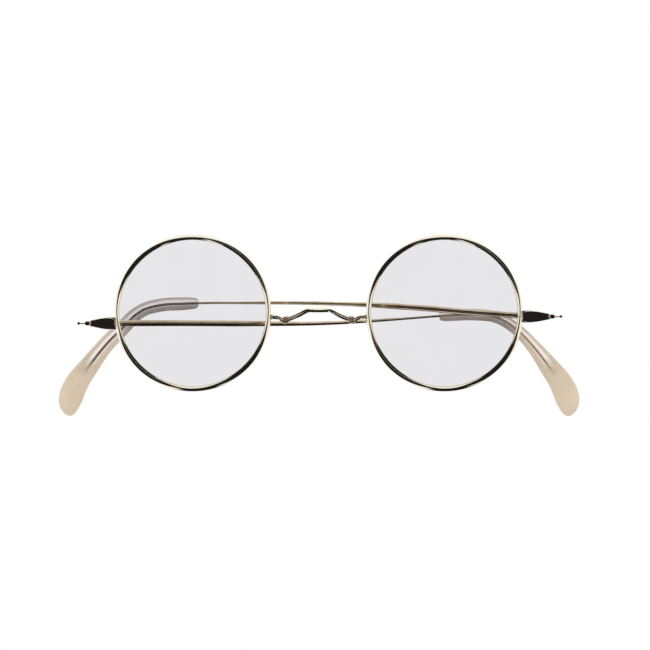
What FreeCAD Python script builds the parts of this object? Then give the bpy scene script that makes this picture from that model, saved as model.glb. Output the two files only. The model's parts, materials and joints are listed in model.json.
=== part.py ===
import FreeCAD, Part
import math
import os
import Sketcher
from FreeCAD import Placement, Rotation, Vector

# Round wire-rimmed spectacles, folded, in millimetres.
# The front faces -Y, +Z is up, and the wearer's left is +X.
# The origin is on the underside of the bridge crest, where it sits on the nose.

doc = FreeCAD.newDocument("Spectacles")

# ---------------------------------------------------------------- sizes
sizeTable = [
    # alias, value, what it is
    ("rim_radius", 21.2, "outside radius of a rim"),
    ("rim_wall", 1.5, "rim, outside to inner lip"),
    ("rim_depth", 1.7, "rim, front to back"),
    ("rim_round", 0.55, "rounding of the rim's outside edges"),
    ("rim_slit", 0.2, "slit that lets the rim open"),
    ("rim_spacing", 68.0, "between the two rim centres"),
    ("rim_level", -0.15, "rim centres, above the nose contact"),
    ("rim_set_back", 0.6, "rim mid-plane, behind the bridge crest"),
    ("groove_depth", 0.68, "lens groove, below the lip"),
    ("groove_width", 1.0, "lens groove at the lip"),
    ("lens_gap", 0.08, "clearance round the lens"),
    ("lens_thick", 1.5, "lens thickness"),
    ("lens_curve", 130.0, "radius of the lens's front face"),
    ("bridge_wire", 1.15, "bridge wire diameter"),
    ("crest_half", 2.6, "half of the straight crest"),
    ("saddle_half", 8.9, "from the middle to a low point"),
    ("saddle_drop", 2.65, "from the crest down to a low point"),
    ("saddle_depth", 1.7, "low points, behind the crest"),
    ("shoulder_drop", 1.75, "from the crest down to the shoulder"),
    ("end_level_right", -2.8, "right end piece, above the rim centre"),
    ("end_level_left", -0.95, "left end piece, above the rim centre"),
    ("leaf_length", 7.0, "end piece leaf, rim to collar"),
    ("leaf_root", 2.2, "leaf height at the rim"),
    ("leaf_height", 3.05, "leaf height at its widest"),
    ("leaf_widest", 1.8, "from the rim to the widest place"),
    ("leaf_end", 1.6, "leaf height at the collar"),
    ("leaf_thick", 0.8, "leaf, front to back"),
    ("leaf_front", -0.7, "front face of the leaf, from the crest plane"),
    ("leaf_round", 0.15, "rounding of the leaf's front edges"),
    ("collar_radius", 0.88, "collar behind the bead"),
    ("collar_length", 0.4, "collar, along the end piece"),
    ("bead_radius", 0.58, "bead beyond the collar"),
    ("bead_length", 1.15, "bead, along the end piece"),
    ("neck_radius", 0.22, "neck between bead and tip"),
    ("neck_length", 1.35, "neck, along the end piece"),
    ("point_radius", 0.38, "ball on the tip of the end piece"),
    ("block_length", 2.5, "closing block, outward from the rim"),
    ("block_depth", 1.8, "closing block, front to back"),
    ("block_height", 3.2, "both halves of the closing block"),
    ("clamp_screw", 1.0, "closing screw shank diameter"),
    ("clamp_head", 1.6, "closing screw head diameter"),
    ("screw_head_deep", 0.36, "height of a screw head"),
    ("screw_slot", 0.3, "width of a driver slot"),
    ("hinge_outward", 4.0, "hinge axis, outward from the rim"),
    ("hinge_back", 1.5, "hinge axis, behind the leaf"),
    ("knuckle_radius", 1.0, "outside of a hinge knuckle"),
    ("hinge_height", 2.25, "hinge, bottom to top"),
    ("tongue_height", 0.66, "temple knuckle height"),
    ("hinge_play", 0.08, "axial gap on each side of the tongue"),
    ("hinge_pin", 0.9, "hinge screw shank diameter"),
    ("hinge_head", 1.4, "hinge screw head diameter"),
    ("pin_play", 0.03, "radial clearance of a turning bore"),
    ("hinge_plate", 0.4, "thickness of a hinge plate"),
    ("plate_length", 2.4, "length of the front hinge plate"),
    ("pad_length", 3.2, "pad on the temple tongue, along the wire"),
    ("temple_offset", 1.8, "temple wire, from the hinge axis"),
    ("butt_back", 0.6, "wire end, behind the hinge axis"),
    ("butt_height", 2.1, "flattened wire end, top to bottom"),
    ("butt_thick", 1.2, "flattened wire end, side to side"),
    ("wire_hinge", 1.66, "temple wire diameter near the hinge"),
    ("wire_middle", 1.1, "temple wire diameter half way"),
    ("wire_tip", 0.85, "temple wire diameter inside the tip"),
    ("fold_right", 4.2, "fold angle of the right temple"),
    ("fold_left", 9.8, "fold angle of the left temple"),
    ("fold_span", 118.4, "between the hinge axes, for which the fold angles are given"),
    ("bend_reach", 113.4, "hinge axis to the ear bend"),
    ("run_reach", 113.4, "bend reach for which the run points are given"),
    ("left_stretch", 1.013, "left temple length over the right's"),
    ("tip_length_right", 50.2, "right moulded tip, along the wire"),
    ("tip_length_left", 51.8, "left moulded tip, along the wire"),
    ("tip_start", 3.1, "tip diameter where it starts"),
    ("tip_middle", 3.6, "tip diameter along the straight"),
    ("tip_bend", 4.2, "tip width at the ear bend"),
    ("tip_end", 6.2, "tip width near its end"),
    ("tip_flat", 2.5, "tip thickness near its end"),
    ("core_short", 12.0, "tip length beyond the end of the wire"),
    ("core_play", 0.02, "clearance of the wire in the tip"),
]

sizes = doc.addObject("Spreadsheet::Sheet", "Sizes")
for row, (alias, value, note) in enumerate(sizeTable, start=1):
    sizes.set("A%d" % row, alias)
    sizes.set("B%d" % row, str(value))
    sizes.set("C%d" % row, note)
    sizes.setAlias("B%d" % row, alias)
doc.recompute()


def size(alias):
    return float(sizes.get(alias))


def bind(obj, links):
    """Bind properties of an object to expressions on the size sheet."""
    for name, expression in links.items():
        obj.setExpression(name, expression)


# Expressions that several pieces share.
rimX = "Sizes.rim_spacing / 2"
edgeX = "(Sizes.rim_spacing / 2 + Sizes.rim_radius)"
hingeX = "(Sizes.rim_spacing / 2 + Sizes.rim_radius + Sizes.hinge_outward)"
leafBack = "(Sizes.leaf_front + Sizes.leaf_thick)"
hingeY = "(Sizes.leaf_front + Sizes.leaf_thick + Sizes.hinge_back)"
halfSlit = "(Sizes.rim_slit / 2)"

sides = {"right": -1, "left": 1}


def level(side):
    return "(Sizes.rim_level + Sizes.end_level_%s)" % side


def signed(side, expression):
    return "%d * %s" % (sides[side], expression)


# ---------------------------------------------------------------- helpers
def originPlane(body, role):
    for item in body.Origin.OriginFeatures:
        if item.Role == role:
            return item


def outline(body, role, corners):
    """Closed straight-sided sketch whose corners are (x, y) expressions."""
    sketch = body.newObject("Sketcher::SketchObject", body.Name + "Outline")
    sketch.AttachmentSupport = (originPlane(body, role), [""])
    sketch.MapMode = "FlatFace"
    places = []
    for x, y in corners:
        places.append(Vector(float(sizes.evalExpression(x)), float(sizes.evalExpression(y)), 0))
    count = len(places)
    for i in range(count):
        sketch.addGeometry(Part.LineSegment(places[i], places[(i + 1) % count]), False)
    for i in range(count):
        sketch.addConstraint(Sketcher.Constraint("Coincident", i, 2, (i + 1) % count, 1))
    for i, corner in enumerate(corners):
        for axis, kind, line in ((0, "DistanceX", -2), (1, "DistanceY", -1)):
            if corner[axis] == "0":
                sketch.addConstraint(Sketcher.Constraint("PointOnObject", i, 1, line))
            else:
                at = places[i][axis]
                k = sketch.addConstraint(Sketcher.Constraint(kind, -1, 1, i, 1, at))
                sketch.setExpression("Constraints[%d]" % k, corner[axis])
    return sketch


def newBody(name):
    return doc.addObject("PartDesign::Body", name)


def revolve(body, sketch, axis):
    turn = body.newObject("PartDesign::Revolution", body.Name + "Turn")
    turn.Profile = sketch
    turn.ReferenceAxis = (sketch, [axis])
    turn.Angle = 360
    return turn


def box(name, links):
    obj = doc.addObject("Part::Box", name)
    bind(obj, links)
    return obj


def cylinder(name, radius, height, x, y, z):
    obj = doc.addObject("Part::Cylinder", name)
    bind(obj, {
        "Radius": radius,
        "Height": height,
        ".Placement.Base.x": x,
        ".Placement.Base.y": y,
        ".Placement.Base.z": z,
    })
    return obj


def fuse(name, shapes):
    obj = doc.addObject("Part::MultiFuse", name)
    obj.Shapes = shapes
    return obj


def cut(name, base, tool):
    obj = doc.addObject("Part::Cut", name)
    obj.Base = base
    obj.Tool = tool
    return obj


def alongY(name, kind, links, side, start):
    """A round primitive whose axis runs to +Y through a rim centre."""
    obj = doc.addObject(kind, name)
    obj.Placement = Placement(Vector(0, 0, 0), Rotation(Vector(1, 0, 0), -90))
    bind(obj, links)
    bind(obj, {
        ".Placement.Base.x": signed(side, rimX),
        ".Placement.Base.y": start,
        ".Placement.Base.z": "Sizes.rim_level",
    })
    return obj


nodes = []


def node(obj, name):
    """Keep an object as one named piece of the spectacles."""
    obj.Label = name
    nodes.append(obj)
    return obj


# ---------------------------------------------------------------- rims
def makeRim(side):
    """Ring with a V groove for the lens, slit at the end piece."""
    body = newBody("Ring_" + side)
    lip = "(Sizes.rim_radius - Sizes.rim_wall)"
    middle = "(Sizes.rim_depth / 2)"
    sketch = outline(body, "XY_Plane", [
        (lip, "0"),
        ("Sizes.rim_radius", "0"),
        ("Sizes.rim_radius", "Sizes.rim_depth"),
        (lip, "Sizes.rim_depth"),
        (lip, middle + " + Sizes.groove_width / 2"),
        (lip + " + Sizes.groove_depth", middle),
        (lip, middle + " - Sizes.groove_width / 2"),
    ])
    turn = revolve(body, sketch, "V_Axis")
    doc.recompute()
    outer = []
    for i, edge in enumerate(turn.Shape.Edges, start=1):
        curve = edge.Curve
        if hasattr(curve, "Radius") and abs(curve.Radius - size("rim_radius")) < 1e-6:
            outer.append("Edge%d" % i)
    fillet = body.newObject("PartDesign::Fillet", body.Name + "Round")
    fillet.Base = (turn, outer)
    bind(fillet, {"Radius": "Sizes.rim_round"})
    body.Tip = fillet
    bind(body, {
        ".Placement.Base.x": signed(side, rimX),
        ".Placement.Base.y": "Sizes.rim_set_back - Sizes.rim_depth / 2",
        ".Placement.Base.z": "Sizes.rim_level",
    })
    far = "%s - Sizes.rim_wall * 2" % edgeX
    slit = box("Slit_" + side, {
        "Length": "Sizes.rim_wall * 3",
        "Width": "Sizes.rim_depth * 2",
        "Height": "Sizes.rim_slit",
        ".Placement.Base.x": far if side == "left" else "-(%s) - Sizes.rim_wall * 3" % far,
        ".Placement.Base.y": "Sizes.rim_set_back - Sizes.rim_depth",
        ".Placement.Base.z": "%s - %s" % (level(side), halfSlit),
    })
    return node(cut("Rim_" + side, body, slit), "rim_" + side)


# ---------------------------------------------------------------- lenses
def makeLens(side):
    """Curved lens of even thickness, with a bevel that sits in the groove."""
    lip = "(Sizes.rim_radius - Sizes.rim_wall)"
    flat = "(%s - Sizes.lens_gap)" % lip
    apex = "(%s + Sizes.groove_depth - Sizes.lens_gap)" % lip
    half = "(Sizes.groove_width / 2 - Sizes.lens_gap)"
    # The lens's mid-surface crosses the rim's mid-plane at the lip.
    sag = "(Sizes.lens_curve - sqrt(Sizes.lens_curve ^ 2 - %s ^ 2))" % lip
    front = "(Sizes.rim_set_back - Sizes.lens_thick / 2 - %s)" % sag
    centre = "%s + Sizes.lens_curve" % front
    outer = alongY("Front_" + side, "Part::Sphere", {"Radius": "Sizes.lens_curve"}, side, centre)
    inner = alongY("Back_" + side, "Part::Sphere",
                   {"Radius": "Sizes.lens_curve - Sizes.lens_thick"}, side, centre)
    shell = cut("Shell_" + side, outer, inner)
    disc = alongY("Disc_" + side, "Part::Cylinder",
                  {"Radius": flat, "Height": "Sizes.lens_thick * 4"},
                  side, "Sizes.rim_set_back - Sizes.lens_thick * 3")
    rising = alongY("Rise_" + side, "Part::Cone",
                    {"Radius1": flat, "Radius2": apex, "Height": half},
                    side, "Sizes.rim_set_back - %s" % half)
    falling = alongY("Fall_" + side, "Part::Cone",
                     {"Radius1": apex, "Radius2": flat, "Height": half},
                     side, "Sizes.rim_set_back")
    blank = fuse("Blank_" + side, [disc, rising, falling])
    lens = doc.addObject("Part::Common", "Lens_" + side)
    lens.Base = shell
    lens.Tool = blank
    return node(lens, "lens_" + side)


# ---------------------------------------------------------------- swept wires
def ring(name, major, minor, place):
    """Elliptical section of a swept wire."""
    obj = doc.addObject("Part::Ellipse", name)
    bind(obj, {"MajorRadius": major, "MinorRadius": minor})
    obj.Placement = place
    return obj


def sweep(name, spine, sections):
    obj = doc.addObject("Part::Sweep", name)
    obj.Sections = sections
    obj.Spine = (spine, ["Edge1"])
    obj.Solid = True
    obj.Frenet = False
    return obj


def facing(at, along, across):
    """Placement whose Z axis is along and whose X axis is across."""
    z = Vector(along).normalize()
    x = (across - z * across.dot(z)).normalize()
    return Placement(at, Rotation(x, z.cross(x), z, "ZXY"))


def makeBridge():
    """Saddle bridge: a straight crest between two low points and two shoulders."""
    crest = size("bridge_wire") / 2
    rimEdge = size("rim_spacing") / 2 - size("rim_radius")
    low = size("saddle_half")
    deep = size("saddle_depth")
    lowZ = crest - size("saddle_drop")
    shoulderZ = crest - size("shoulder_drop")
    back = size("rim_set_back")
    half = [
        Vector(rimEdge + 0.4, back, shoulderZ),
        Vector(rimEdge - 0.9, back, shoulderZ),
        Vector((low + rimEdge - 0.9) / 2, (back + deep) / 2, (shoulderZ + lowZ) / 2),
        Vector(low, deep, lowZ),
        Vector(low - 1.3, deep * 0.82, lowZ + 0.5),
        Vector((low + size("crest_half")) / 2 - 0.6, deep * 0.3, crest - 1.15),
        Vector(size("crest_half") + 0.8, deep * 0.04, crest - 0.22),
        Vector(size("crest_half"), 0, crest),
        Vector(size("crest_half") * 0.4, 0, crest),
    ]
    points = half + [Vector(-p.x, p.y, p.z) for p in reversed(half)]
    curve = Part.BSplineCurve()
    curve.interpolate(points)
    sections = []
    count = 25
    for i in range(count):
        along = curve.length() * i / (count - 1)
        t = curve.parameterAtDistance(along, curve.FirstParameter)
        place = facing(curve.value(t), curve.tangent(t)[0], Vector(0, 1, 0))
        sections.append(ring("BridgeRing%d" % i, "Sizes.bridge_wire / 2",
                             "Sizes.bridge_wire / 2", place))
    wire = doc.addObject("Part::Loft", "BridgeWire")
    wire.Sections = sections
    wire.Solid = True
    wire.Ruled = False
    ends = []
    for side in sides:
        ends.append(alongY("Mouth_" + side, "Part::Cylinder",
                           {"Radius": "Sizes.rim_radius", "Height": "Sizes.rim_depth * 4"},
                           side, "Sizes.rim_set_back - Sizes.rim_depth * 2"))
    return node(cut("Bridge", wire, fuse("BridgeMouths", ends)), "bridge")


# ---------------------------------------------------------------- end pieces
def rimTool(name, side):
    """Cylinder that fills a rim, to trim what is soldered to its outside."""
    return alongY(name, "Part::Cylinder",
                  {"Radius": "Sizes.rim_radius", "Height": "Sizes.rim_depth * 6"},
                  side, "Sizes.rim_set_back - Sizes.rim_depth * 3")


def makeEndPiece(side):
    """Leaf-shaped plate that ends in a collar, a bead, a neck and a small ball."""
    body = newBody("Leaf_" + side)
    tall = "Sizes.leaf_height"
    # The outline starts inside the rim and is trimmed to the rim's outside.
    inside = "Sizes.rim_wall"
    end = "(Sizes.rim_wall + Sizes.leaf_length)"
    wide = "(Sizes.rim_wall + Sizes.leaf_widest)"
    sketch = outline(body, "XZ_Plane", [
        ("0", "(%s - Sizes.leaf_root) / 2" % tall),
        (inside, "(%s - Sizes.leaf_root) / 2" % tall),
        (wide + " - Sizes.leaf_widest / 2", "%s * 0.04" % tall),
        (wide + " + Sizes.leaf_widest / 6", "0"),
        (wide + " + Sizes.leaf_widest", "%s * 0.02" % tall),
        (end, "(%s - Sizes.leaf_end) / 2" % tall),
        (end, "(%s + Sizes.leaf_end) / 2" % tall),
        (wide + " + Sizes.leaf_widest", "%s * 0.98" % tall),
        (wide + " + Sizes.leaf_widest / 6", tall),
        (wide + " - Sizes.leaf_widest / 2", "%s * 0.96" % tall),
        (inside, "(%s + Sizes.leaf_root) / 2" % tall),
        ("0", "(%s + Sizes.leaf_root) / 2" % tall),
    ])
    pad = body.newObject("PartDesign::Pad", body.Name + "Plate")
    pad.Profile = sketch
    pad.Reversed = True
    bind(pad, {"Length": "Sizes.leaf_thick"})
    body.Tip = pad
    doc.recompute()
    front = []
    for i, edge in enumerate(pad.Shape.Edges, start=1):
        ends = edge.BoundBox
        flatFront = abs(ends.YMin) < 1e-6 and abs(ends.YMax) < 1e-6
        if flatFront and ends.XMin > size("rim_wall") - 1e-6:
            if ends.ZLength < size("leaf_end") - 1e-6:
                front.append("Edge%d" % i)
    fillet = body.newObject("PartDesign::Fillet", body.Name + "Round")
    fillet.Base = (pad, front)
    bind(fillet, {"Radius": "Sizes.leaf_round"})
    body.Tip = fillet
    bind(body, {
        ".Placement.Base.x": signed(side, "(%s - Sizes.rim_wall)" % edgeX),
        ".Placement.Base.y": "Sizes.leaf_front",
        ".Placement.Base.z": "%s - %d * Sizes.leaf_height / 2" % (level(side), sides[side]),
    })
    turned = Rotation(Vector(0, 1, 0), 0 if side == "left" else 180)
    body.Placement = Placement(body.Placement.Base, turned)

    # The finial is turned about the middle of the leaf.
    finial = newBody("Finial_" + side)
    bead = "Sizes.collar_length + Sizes.bead_length"
    neck = bead + " + Sizes.neck_length"
    tip = neck + " + Sizes.point_radius * 2"
    profile = outline(finial, "XY_Plane", [
        ("0", "0"),
        ("0", "Sizes.collar_radius"),
        ("Sizes.collar_length", "Sizes.collar_radius"),
        ("Sizes.collar_length", "Sizes.bead_radius * 0.8"),
        ("Sizes.collar_length + Sizes.bead_length * 0.3", "Sizes.bead_radius"),
        ("Sizes.collar_length + Sizes.bead_length * 0.7", "Sizes.bead_radius"),
        (bead, "Sizes.bead_radius * 0.6"),
        (bead + " + Sizes.neck_length * 0.2", "Sizes.neck_radius"),
        (neck, "Sizes.neck_radius"),
        (neck + " + Sizes.point_radius * 0.4", "Sizes.point_radius * 0.85"),
        (neck + " + Sizes.point_radius", "Sizes.point_radius"),
        (neck + " + Sizes.point_radius * 1.6", "Sizes.point_radius * 0.8"),
        (tip, "Sizes.point_radius * 0.3"),
        (tip, "0"),
    ])
    revolve(finial, profile, "H_Axis")
    bind(finial, {
        ".Placement.Base.x": signed(side, "(%s + Sizes.leaf_length)" % edgeX),
        ".Placement.Base.y": "Sizes.leaf_front + Sizes.leaf_thick / 2",
        ".Placement.Base.z": level(side),
    })
    finial.Placement = Placement(finial.Placement.Base, turned)
    whole = fuse("LeafWhole_" + side, [body, finial])
    trimmed = cut("EndPiece_" + side, whole, rimTool("LeafTrim_" + side, side))
    return node(trimmed, "end_piece_" + side)


# ---------------------------------------------------------------- closing blocks
def blockMiddle(side):
    return signed(side, "(%s + Sizes.block_length * 0.52)" % edgeX)


def blockY():
    return "(%s + Sizes.block_depth / 2)" % leafBack


def makeBlock(side, half):
    """Half of the block that the closing screw pulls together."""
    long = "(Sizes.block_length + Sizes.rim_wall)"
    start = "(%s - Sizes.rim_wall)" % edgeX
    tall = "(Sizes.block_height / 2 - %s)" % halfSlit
    upper = half == "upper"
    low = "%s + %s" % (level(side), halfSlit) if upper else \
        "%s - Sizes.block_height / 2" % level(side)
    blank = box("Block_%s_%s" % (half, side), {
        "Length": long,
        "Width": "Sizes.block_depth",
        "Height": tall,
        ".Placement.Base.x": start if side == "left" else "-%s - %s" % (start, long),
        ".Placement.Base.y": leafBack,
        ".Placement.Base.z": low,
    })
    bore = cylinder("BlockBore_%s_%s" % (half, side),
                    "Sizes.clamp_screw / 2 + Sizes.core_play",
                    "Sizes.block_height * 2",
                    blockMiddle(side), blockY(),
                    "%s - Sizes.block_height" % level(side))
    tools = [rimTool("BlockTrim_%s_%s" % (half, side), side), bore]
    if upper:
        sink = "Sizes.screw_head_deep"
        tools.append(cylinder("BlockSink_" + side,
                              "Sizes.clamp_head / 2 + Sizes.core_play",
                              sink + " * 2",
                              blockMiddle(side), blockY(),
                              "%s + Sizes.block_height / 2 - %s" % (level(side), sink)))
    name = "closing_block_%s_%s" % (half, side)
    whole = fuse("BlockTools_%s_%s" % (half, side), tools)
    return node(cut("Closing_%s_%s" % (half, side), blank, whole), name)


def makeScrew(name, label, head, shank, length, x, y, top):
    """Slotted screw with its head up; top is the level of the head's upper face."""
    deep = "Sizes.screw_head_deep"
    headDisc = cylinder(name + "Head", head + " / 2", deep, x, y, "%s - %s" % (top, deep))
    stem = cylinder(name + "Stem", shank + " / 2", length, x, y, "%s - %s" % (top, length))
    slot = box(name + "Slot", {
        "Length": head + " * 2",
        "Width": "Sizes.screw_slot",
        "Height": deep,
        ".Placement.Base.x": "%s - %s" % (x, head),
        ".Placement.Base.y": "%s - Sizes.screw_slot / 2" % y,
        ".Placement.Base.z": "%s - %s / 2" % (top, deep),
    })
    return node(cut(name, fuse(name + "Blank", [headDisc, stem]), slot), label)


# ---------------------------------------------------------------- hinges
def makeFrontHinge(side):
    """Plate on the back of the leaf with an upper and a lower knuckle."""
    x = signed(side, hingeX)
    plateX = "%s - Sizes.plate_length * %s" % (x, "0.54" if side == "left" else "0.46")
    tall = "Sizes.hinge_height"
    low = "%s - %s / 2" % (level(side), tall)
    plate = box("HingePlate_" + side, {
        "Length": "Sizes.plate_length",
        "Width": "Sizes.hinge_plate",
        "Height": tall,
        ".Placement.Base.x": plateX,
        ".Placement.Base.y": leafBack,
        ".Placement.Base.z": low,
    })
    barrel = cylinder("HingeBarrel_" + side, "Sizes.knuckle_radius", tall, x, hingeY, low)
    web = box("HingeWeb_" + side, {
        "Length": "Sizes.knuckle_radius * 1.6",
        "Width": "Sizes.hinge_back",
        "Height": tall,
        ".Placement.Base.x": "%s - Sizes.knuckle_radius * 0.8" % x,
        ".Placement.Base.y": leafBack,
        ".Placement.Base.z": low,
    })
    # The gap takes the temple's tongue, and leaves the plate whole.
    gapTall = "(Sizes.tongue_height + 2 * Sizes.hinge_play)"
    gap = box("HingeGap_" + side, {
        "Length": "Sizes.knuckle_radius * 4",
        "Width": "Sizes.hinge_back + Sizes.knuckle_radius * 2",
        "Height": gapTall,
        ".Placement.Base.x": "%s - Sizes.knuckle_radius * 2" % x,
        ".Placement.Base.y": "%s + Sizes.hinge_plate" % leafBack,
        ".Placement.Base.z": "%s - %s / 2" % (level(side), gapTall),
    })
    bore = cylinder("HingeBore_" + side, "Sizes.hinge_pin / 2 + Sizes.core_play",
                    tall + " * 2", x, hingeY, "%s - %s" % (level(side), tall))
    sink = cylinder("HingeSink_" + side, "Sizes.hinge_head / 2 + Sizes.core_play",
                    "Sizes.screw_head_deep * 2", x, hingeY,
                    "%s + %s / 2 - Sizes.screw_head_deep" % (level(side), tall))
    # The tongue's eye turns clear of the plate, however near the axis is to it.
    scoop = cylinder("HingeScoop_" + side, "Sizes.knuckle_radius + Sizes.hinge_play", gapTall,
                     x, hingeY, "%s - %s / 2" % (level(side), gapTall))
    blank = fuse("HingeBlank_" + side, [plate, barrel, web])
    tools = fuse("HingeTools_" + side, [gap, scoop, bore, sink])
    return node(cut("HingeFront_" + side, blank, tools), "hinge_front_" + side)


def foldAngle(side):
    """Fold angle in degrees: the temples cross at the same share of the right one's run."""
    left = math.tan(math.radians(size("fold_left")))
    if side == "left":
        return size("fold_left")
    ratio = math.tan(math.radians(size("fold_right"))) / left
    crossing = size("fold_span") / (1 + ratio) * size("bend_reach") / size("run_reach")
    span = 2 * float(sizes.evalExpression(hingeX))
    return math.degrees(math.atan(left * (span / crossing - 1)))


def hingePlace(side):
    """Placement of a folded temple: X runs along it and Y away from the front."""
    at = Vector(
        float(sizes.evalExpression(signed(side, hingeX))),
        float(sizes.evalExpression(hingeY)),
        float(sizes.evalExpression(level(side))),
    )
    turn = Rotation(Vector(0, 0, 1), -sides[side] * foldAngle(side))
    if side == "left":
        turn = turn.multiply(Rotation(Vector(0, 1, 0), 180))
    return Placement(at, turn)


def makeTempleHinge(side):
    """Tongue that turns on the hinge screw, with a pad under the temple wire."""
    tall = "Sizes.tongue_height"
    low = "-%s / 2" % tall
    padTop = "(Sizes.temple_offset - Sizes.butt_thick / 2)"
    eye = cylinder("Eye_" + side, "Sizes.knuckle_radius", tall, "0", "0", low)
    arm = box("Arm_" + side, {
        "Length": "Sizes.knuckle_radius * 1.5",
        "Width": padTop,
        "Height": tall,
        ".Placement.Base.x": "-Sizes.knuckle_radius * 0.5",
        ".Placement.Base.z": low,
    })
    pad = box("Pad_" + side, {
        "Length": "Sizes.pad_length",
        "Width": "%s - Sizes.knuckle_radius * 0.8" % padTop,
        "Height": "Sizes.butt_height * 0.7",
        ".Placement.Base.x": "Sizes.knuckle_radius * 0.2 - Sizes.butt_back",
        ".Placement.Base.y": "Sizes.knuckle_radius * 0.8",
        ".Placement.Base.z": "-Sizes.butt_height * 0.35",
    })
    # The pad stops short of the fixed knuckles that the tongue turns between.
    swing = "(Sizes.knuckle_radius + Sizes.hinge_play * 2)"
    upper = cylinder("Swing_" + side, swing, "Sizes.hinge_height", "0", "0",
                     "%s / 2" % tall)
    lower = cylinder("SwingLow_" + side, swing, "Sizes.hinge_height", "0", "0",
                     "-%s / 2 - Sizes.hinge_height" % tall)
    bore = cylinder("EyeBore_" + side, "Sizes.hinge_pin / 2 + Sizes.pin_play",
                    tall + " * 2", "0", "0", "-" + tall)
    blank = fuse("TongueBlank_" + side, [eye, arm, pad])
    tools = fuse("TongueTools_" + side, [upper, lower, bore])
    piece = cut("HingeTemple_" + side, blank, tools)
    piece.Placement = hingePlace(side)
    return node(piece, "hinge_temple_" + side)


# ---------------------------------------------------------------- temples
# (reach, height) from the hinge axis and the rim centre: the straight run.
runs = {
    "right": [(22.0, -2.75), (41.0, -2.85), (60.0, -2.8), (81.0, -1.65), (94.0, -0.7),
              (103.0, -0.5), (108.0, -1.3)],
    "left": [(16.0, 0.05), (37.0, 1.7), (58.0, 2.6), (80.0, 2.75), (96.0, 2.55),
             (103.8, 1.9), (108.0, 0.4)],
}
# (reach beyond the bend, height): the drop behind the ear, the same on both sides.
drop = [(0, -4.6), (3.8, -8.4), (8.8, -14.7), (12.0, -19.2), (13.7, -23.5), (13.9, -27.9)]


def templePoint(side, reach, height):
    """Point on a folded temple's centreline; reach is 0 at the hinge axis."""
    place = hingePlace(side)
    stretch = size("left_stretch") if side == "left" else 1.0
    local = Vector(reach * stretch, size("temple_offset"), 0)
    if side == "left":
        local.x = -local.x
        turn = Rotation(Vector(0, 0, 1), -foldAngle(side))
    else:
        turn = Rotation(Vector(0, 0, 1), foldAngle(side))
    at = turn.multVec(local)
    return Vector(place.Base.x + at.x, place.Base.y + at.y, size("rim_level") + height)


def centreLine(side):
    """Curve of a temple from its flattened end to the end of its tip."""
    hinge = size("end_level_" + side)
    bend = size("bend_reach")
    points = [templePoint(side, -size("butt_back"), hinge), templePoint(side, 5.0, hinge)]
    if side == "left":
        points[1] = templePoint(side, 5.0, hinge + 0.25)
    scale = bend / size("run_reach")
    for reach, height in runs[side]:
        points.append(templePoint(side, reach * scale, height))
    for beyond, height in drop:
        points.append(templePoint(side, bend + beyond, height))
    curve = Part.BSplineCurve()
    curve.interpolate(points)
    return curve


def station(curve, side, distance):
    """Section placement at a distance from the flattened end, X across the wire."""
    t = curve.parameterAtDistance(distance, curve.FirstParameter)
    angle = math.radians(foldAngle(side))
    outward = Vector(-sides[side] * -math.sin(angle), math.cos(angle), 0)
    along = curve.tangent(t)[0]
    return facing(curve.value(t), along, outward.cross(along))


def spineOf(name, curve, start, end):
    a = curve.parameterAtDistance(start, curve.FirstParameter)
    b = curve.parameterAtDistance(end, curve.FirstParameter)
    obj = doc.addObject("Part::Feature", name)
    obj.Shape = curve.toShape(a, b)
    return obj


def between(plan, at):
    """Radii at a distance, as expressions blended from a list of (distance, radii)."""
    for (a, *low), (b, *high) in zip(plan, plan[1:]):
        if at <= b:
            part = max(0.0, (at - a) / (b - a))
            pairs = zip(low, high)
            return ["(%s) * %.5f + (%s) * %.5f" % (p, 1 - part, q, part) for p, q in pairs]
    return ["(%s)" % radius for radius in plan[-1][1:]]


def rings(name, curve, side, start, distances, radii):
    """Sections along a temple; distances run from start, and radii says their sizes."""
    sections = []
    for i, at in enumerate(distances):
        across, thick = radii(at)
        place = station(curve, side, start + at)
        sections.append(ring("%s_%s_%d" % (name, side, i), across, thick, place))
    return sections


def makeTemple(side):
    """Tapered wire with a flattened end at the hinge, running into the tip."""
    curve = centreLine(side)
    total = curve.length()
    end = total - size("core_short")
    tipAt = total - size("tip_length_" + side)
    buttFlat = size("pad_length") + 1.0
    buttEnd = buttFlat + size("butt_height") * 1.5
    tall = "Sizes.butt_height / 2"
    thick = "Sizes.butt_thick / 2"
    wire = "Sizes.wire_hinge / 2"
    butt = doc.addObject("Part::Loft", "Butt_" + side)
    butt.Sections = [
        ring("Butt_%s_0" % side, tall, thick, station(curve, side, 0.0)),
        ring("Butt_%s_1" % side, tall, thick, station(curve, side, buttFlat)),
        ring("Butt_%s_2" % side, wire, wire, station(curve, side, buttEnd)),
    ]
    butt.Solid = True
    butt.Ruled = True
    plan = [
        (0.0, wire),
        ((tipAt - buttEnd) * 0.38, wire),
        ((tipAt - buttEnd) * 0.56, "Sizes.wire_middle / 2"),
        (tipAt - buttEnd - 2.0, "Sizes.wire_tip / 2"),
    ]
    # The wire is drawn in short lengths that meet at a shared section.
    lengths, steps = 8, 6
    count = lengths * steps
    distances = [(end - buttEnd) * i / count for i in range(count + 1)]
    sections = rings("Wire", curve, side, buttEnd, distances,
                     lambda at: between(plan, at) * 2)
    pieces = [butt]
    for i in range(lengths):
        run = doc.addObject("Part::Loft", "WireRun_%s_%d" % (side, i))
        run.Sections = sections[i * steps:(i + 1) * steps + 1]
        run.Solid = True
        run.Ruled = False
        pieces.append(run)
    return node(fuse("TempleWire_" + side, pieces), "temple_" + side)


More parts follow.
